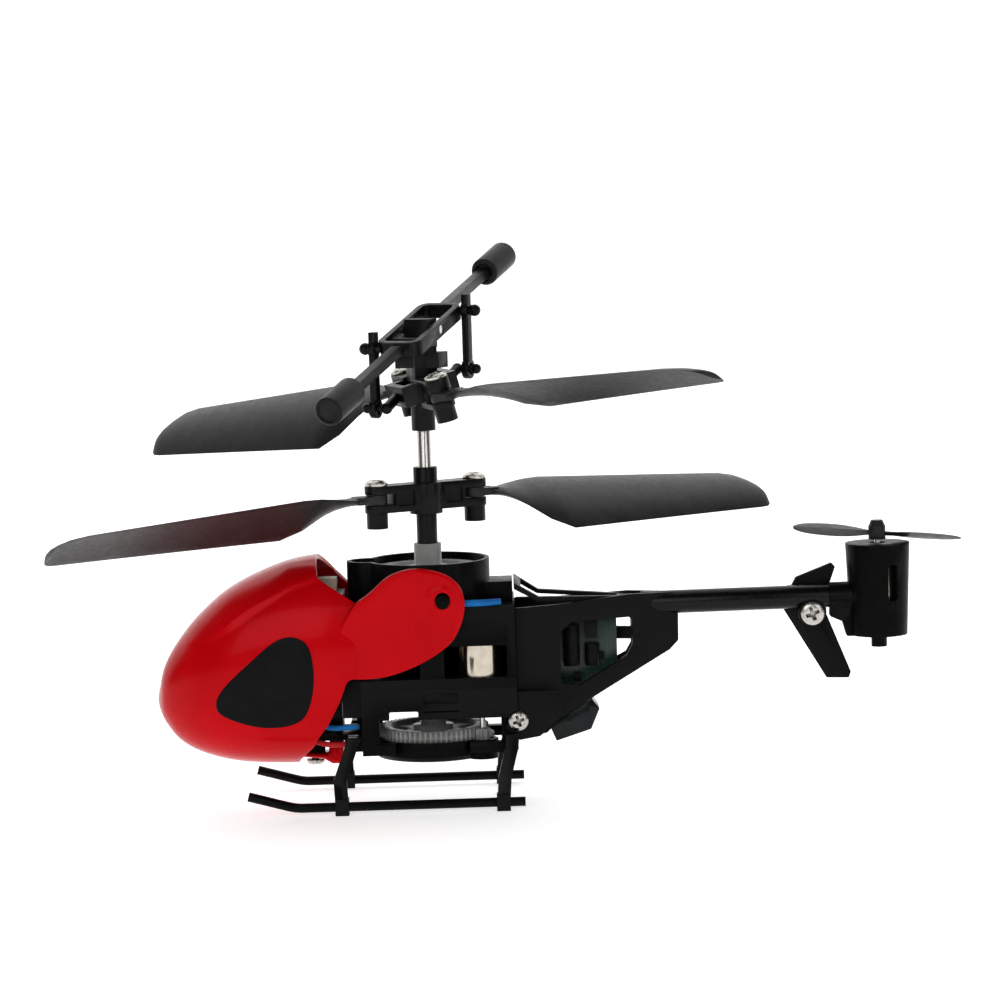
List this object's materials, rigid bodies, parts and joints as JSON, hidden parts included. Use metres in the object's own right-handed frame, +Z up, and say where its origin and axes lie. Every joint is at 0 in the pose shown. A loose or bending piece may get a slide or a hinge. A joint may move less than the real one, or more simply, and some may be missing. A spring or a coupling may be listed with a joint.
{
  "type": "remote control helicopter",
  "caption": "Palm-size coaxial remote control helicopter with red canopy, open black chassis, weighted flybar, folding rotor blades, tail boom with small propeller and skids.",
  "frame": {"origin": "bottom centre of the whole model's box, on the ground under the skid clips", "axes": "+X towards the nose, +Y to port, +Z up along the rotor shaft"},
  "size_m": [0.1316, 0.0822, 0.0805],
  "materials": {
    "canopy_gloss": "high gloss moulded",
    "window_tint": "semi gloss black",
    "screw_steel": "nickel plated",
    "frame_plastic": "satin moulded black",
    "battery_wrap": "black shrink wrap",
    "connector_nylon": "cream nylon",
    "board_green": "solder mask",
    "component_black": "moulded",
    "receiver_tint": "dark infrared window",
    "switch_metal": "stamped",
    "lead_blue": "vinyl insulation",
    "lead_red": "vinyl insulation",
    "motor_nickel": "polished can",
    "shaft_steel": "ground",
    "boom_black": "satin tube",
    "bearing_bronze": "sintered",
    "gear_leg_plastic": "satin moulded black",
    "gear_nylon": "natural nylon",
    "gear_nylon_clear": "translucent nylon",
    "pinion_plastic": "nylon",
    "rotor_plastic": "satin moulded black",
    "blade_plastic": "satin flexible blade",
    "weight_plastic": "satin"
  },
  "bodies": {
    "airframe": {"canopy": "canopy_gloss", "canopy_windows": "window_tint", "canopy_screw": "screw_steel", "gear_housing": "frame_plastic", "motor_frame": "frame_plastic", "lower_gear_guard": "frame_plastic", "rear_plate_left": "frame_plastic", "rear_plate_right": "frame_plastic", "plate_bridge": "frame_plastic", "top_deck": "frame_plastic", "body_screws": "screw_steel", "battery_tray": "frame_plastic", "battery": "battery_wrap", "battery_connector": "connector_nylon", "circuit_board": "board_green", "board_components": "component_black", "infrared_receiver": "receiver_tint", "charge_socket": "component_black", "switch_body": "switch_metal", "blue_motor_lead": "lead_blue", "blue_battery_lead": "lead_blue", "red_battery_lead": "lead_red", "front_motor": "motor_nickel", "rear_motor": "motor_nickel", "tail_boom": "boom_black", "tail_fin": "frame_plastic", "tail_fin_screw": "screw_steel", "tail_motor_housing": "frame_plastic", "tail_motor": "motor_nickel", "upper_shaft_bearing": "bearing_bronze", "lower_shaft_bearing": "bearing_bronze", "legs_left": "gear_leg_plastic", "legs_right": "gear_leg_plastic", "skid_left": "gear_leg_plastic", "skid_right": "gear_leg_plastic"},
    "switch_slider": {"switch_knob": "component_black"},
    "lower_rotor": {"upper_drive_gear": "gear_nylon", "outer_shaft": "rotor_plastic", "lower_rotor_hub": "rotor_plastic", "lower_blade_screws": "screw_steel"},
    "lower_blade_a": {"lower_blade_front": "blade_plastic"},
    "lower_blade_b": {"lower_blade_rear": "blade_plastic"},
    "front_pinion_shaft": {"front_pinion": "pinion_plastic", "front_motor_shaft": "shaft_steel"},
    "upper_rotor": {"lower_drive_gear": "gear_nylon_clear", "inner_shaft": "shaft_steel", "rotor_head": "rotor_plastic", "head_pins": "shaft_steel"},
    "rear_pinion_shaft": {"rear_pinion": "pinion_plastic", "rear_motor_shaft": "shaft_steel"},
    "upper_hub": {"upper_rotor_hub": "rotor_plastic", "upper_blade_screws": "screw_steel"},
    "upper_blade_a": {"upper_blade_port": "blade_plastic"},
    "upper_blade_b": {"upper_blade_starboard": "blade_plastic"},
    "flybar_bar": {"flybar": "rotor_plastic", "flybar_weights": "weight_plastic"},
    "link_a": {"link_front": "rotor_plastic"},
    "link_b": {"link_rear": "rotor_plastic"},
    "tail_propeller": {"tail_rotor": "blade_plastic", "tail_motor_shaft": "shaft_steel"}
  },
  "joints": [
    {"name": "power_switch", "type": "slide", "parent": "airframe", "child": "switch_slider", "axis": [-1, 0, 0], "range_m": [0, 0.0019]},
    {"name": "lower_rotor_spin", "type": "hinge", "parent": "airframe", "child": "lower_rotor", "pos_m": [0.01223, -0.00196, 0.03965], "axis": [0, 0, 1], "continuous": true},
    {"name": "front_pinion_spin", "type": "hinge", "parent": "airframe", "child": "front_pinion_shaft", "pos_m": [0.02111, -0.00196, 0.03265], "axis": [0, 0, 1], "continuous": true},
    {"name": "upper_rotor_spin", "type": "hinge", "parent": "airframe", "child": "upper_rotor", "pos_m": [0.01223, -0.00196, 0.01965], "axis": [0, 0, 1], "continuous": true},
    {"name": "rear_pinion_spin", "type": "hinge", "parent": "airframe", "child": "rear_pinion_shaft", "pos_m": [0.00498, 0.00316, 0.00965], "axis": [0, 0, 1], "continuous": true},
    {"name": "lower_blade_front_fold", "type": "hinge", "parent": "lower_rotor", "child": "lower_blade_a", "pos_m": [0.0193, 0.0018, 0.0448], "axis": [0, 0, 1], "range_deg": [-57.5, 62.5]},
    {"name": "lower_blade_rear_fold", "type": "hinge", "parent": "lower_rotor", "child": "lower_blade_b", "pos_m": [0.00517, -0.00571, 0.0448], "axis": [0, 0, 1], "range_deg": [-62.5, 57.5]},
    {"name": "flybar_teeter", "type": "hinge", "parent": "upper_rotor", "child": "flybar_bar", "pos_m": [0.01223, -0.00196, 0.0691], "axis": [0.9171, -0.3987, 0], "range_deg": [0, 33.6]},
    {"name": "hub_feather", "type": "hinge", "parent": "upper_rotor", "child": "upper_hub", "pos_m": [0.01223, -0.00196, 0.0606], "axis": [0.3256, -0.9455, 0], "range_deg": [0, 31.65]},
    {"name": "upper_blade_port_fold", "type": "hinge", "parent": "upper_hub", "child": "upper_blade_a", "pos_m": [0.00963, 0.00561, 0.0606], "axis": [0.2399, 0.0826, 0.9673], "range_deg": [-86.5, 33.5]},
    {"name": "upper_blade_starboard_fold", "type": "hinge", "parent": "upper_hub", "child": "upper_blade_b", "pos_m": [0.01484, -0.00952, 0.0606], "axis": [0.2399, 0.0826, 0.9673], "range_deg": [-93, 27]},
    {"name": "link_front_swing", "type": "hinge", "parent": "flybar_bar", "child": "link_a", "pos_m": [0.01895, 0.00345, 0.06679], "axis": [0.9171, -0.3987, 0], "range_deg": [-33.6, 0]},
    {"name": "link_rear_swing", "type": "hinge", "parent": "flybar_bar", "child": "link_b", "pos_m": [0.00552, -0.00737, 0.07141], "axis": [0.9171, -0.3987, 0], "range_deg": [-33.6, 0]},
    {"name": "tail_rotor_spin", "type": "hinge", "parent": "airframe", "child": "tail_propeller", "pos_m": [-0.05357, -0.00196, 0.03665], "axis": [0, 0, 1], "continuous": true}
  ],
  "couplings": [
    {"joint": "front_pinion_spin", "follows": "lower_rotor_spin", "ratio": -7.875},
    {"joint": "rear_pinion_spin", "follows": "upper_rotor_spin", "ratio": -7.875},
    {"joint": "hub_feather", "follows": "flybar_teeter", "ratio": 0.94183},
    {"joint": "link_front_swing", "follows": "flybar_teeter", "ratio": -1},
    {"joint": "link_rear_swing", "follows": "flybar_teeter", "ratio": -1}
  ]
}
